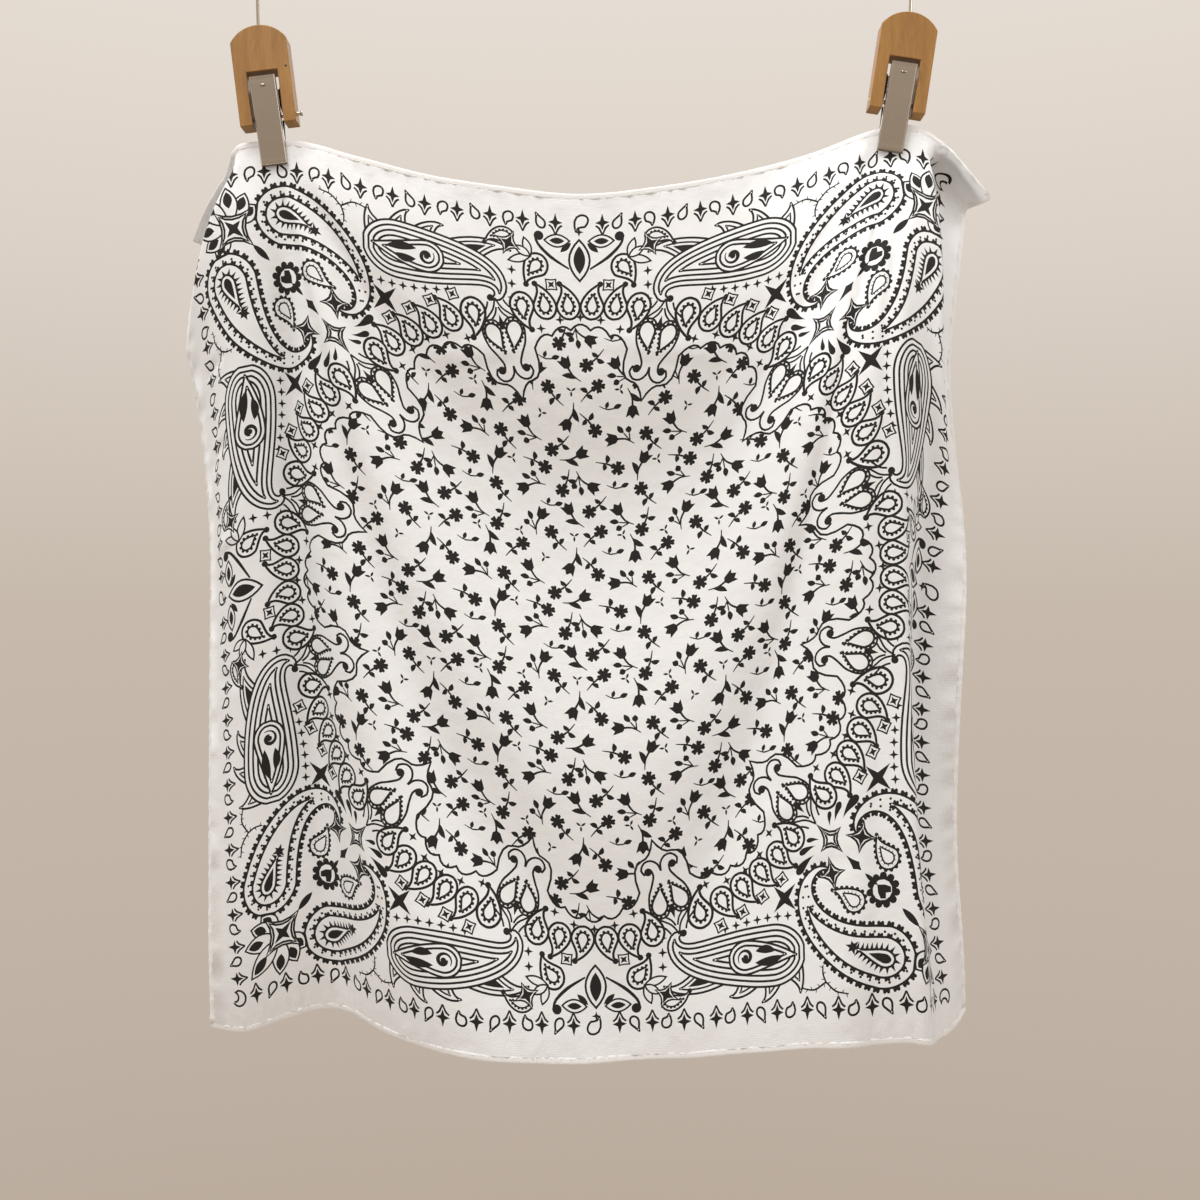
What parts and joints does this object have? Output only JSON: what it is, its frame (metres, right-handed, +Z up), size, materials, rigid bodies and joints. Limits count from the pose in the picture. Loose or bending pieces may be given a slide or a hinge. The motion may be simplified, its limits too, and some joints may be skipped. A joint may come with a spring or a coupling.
{
  "type": "bandana on two clip hangers",
  "caption": "Square printed bandana hung by its top hem from wooden clips with wire hooks, draped in soft folds with both top corners falling back.",
  "frame": {"origin": "on the rail line, midway between the two hooks, at the height where the hooks bear on a rail", "axes": "+X along the rail, to the viewer's right; +Y away from the viewer, through the cloth; +Z up"},
  "size_m": [0.5163, 0.1149, 0.7325],
  "materials": {
    "cloth": "soft smooth weave, off-white with a near-black print",
    "hem": "narrow stitched hem",
    "wood": "satin lacquer",
    "jaw": "aged brass-toned plate",
    "dark_metal": "black",
    "wire": "bright wire"
  },
  "bodies": {
    "root": {"panel": "cloth", "hem_top": "hem", "hem_right": "hem", "hem_bottom": "hem", "hem_left": "hem", "clip_wood_left": "wood", "clip_wood_right": "wood", "clip_jaw_front_left": "jaw", "clip_jaw_front_right": "jaw", "clip_jaw_back_left": "dark_metal", "clip_jaw_back_right": "dark_metal", "clip_pin_left": "wire", "clip_pin_right": "wire", "clip_spring_left": "dark_metal", "clip_spring_right": "dark_metal", "clip_wire_left": "wire", "clip_wire_right": "wire"}
  },
  "joints": []
}
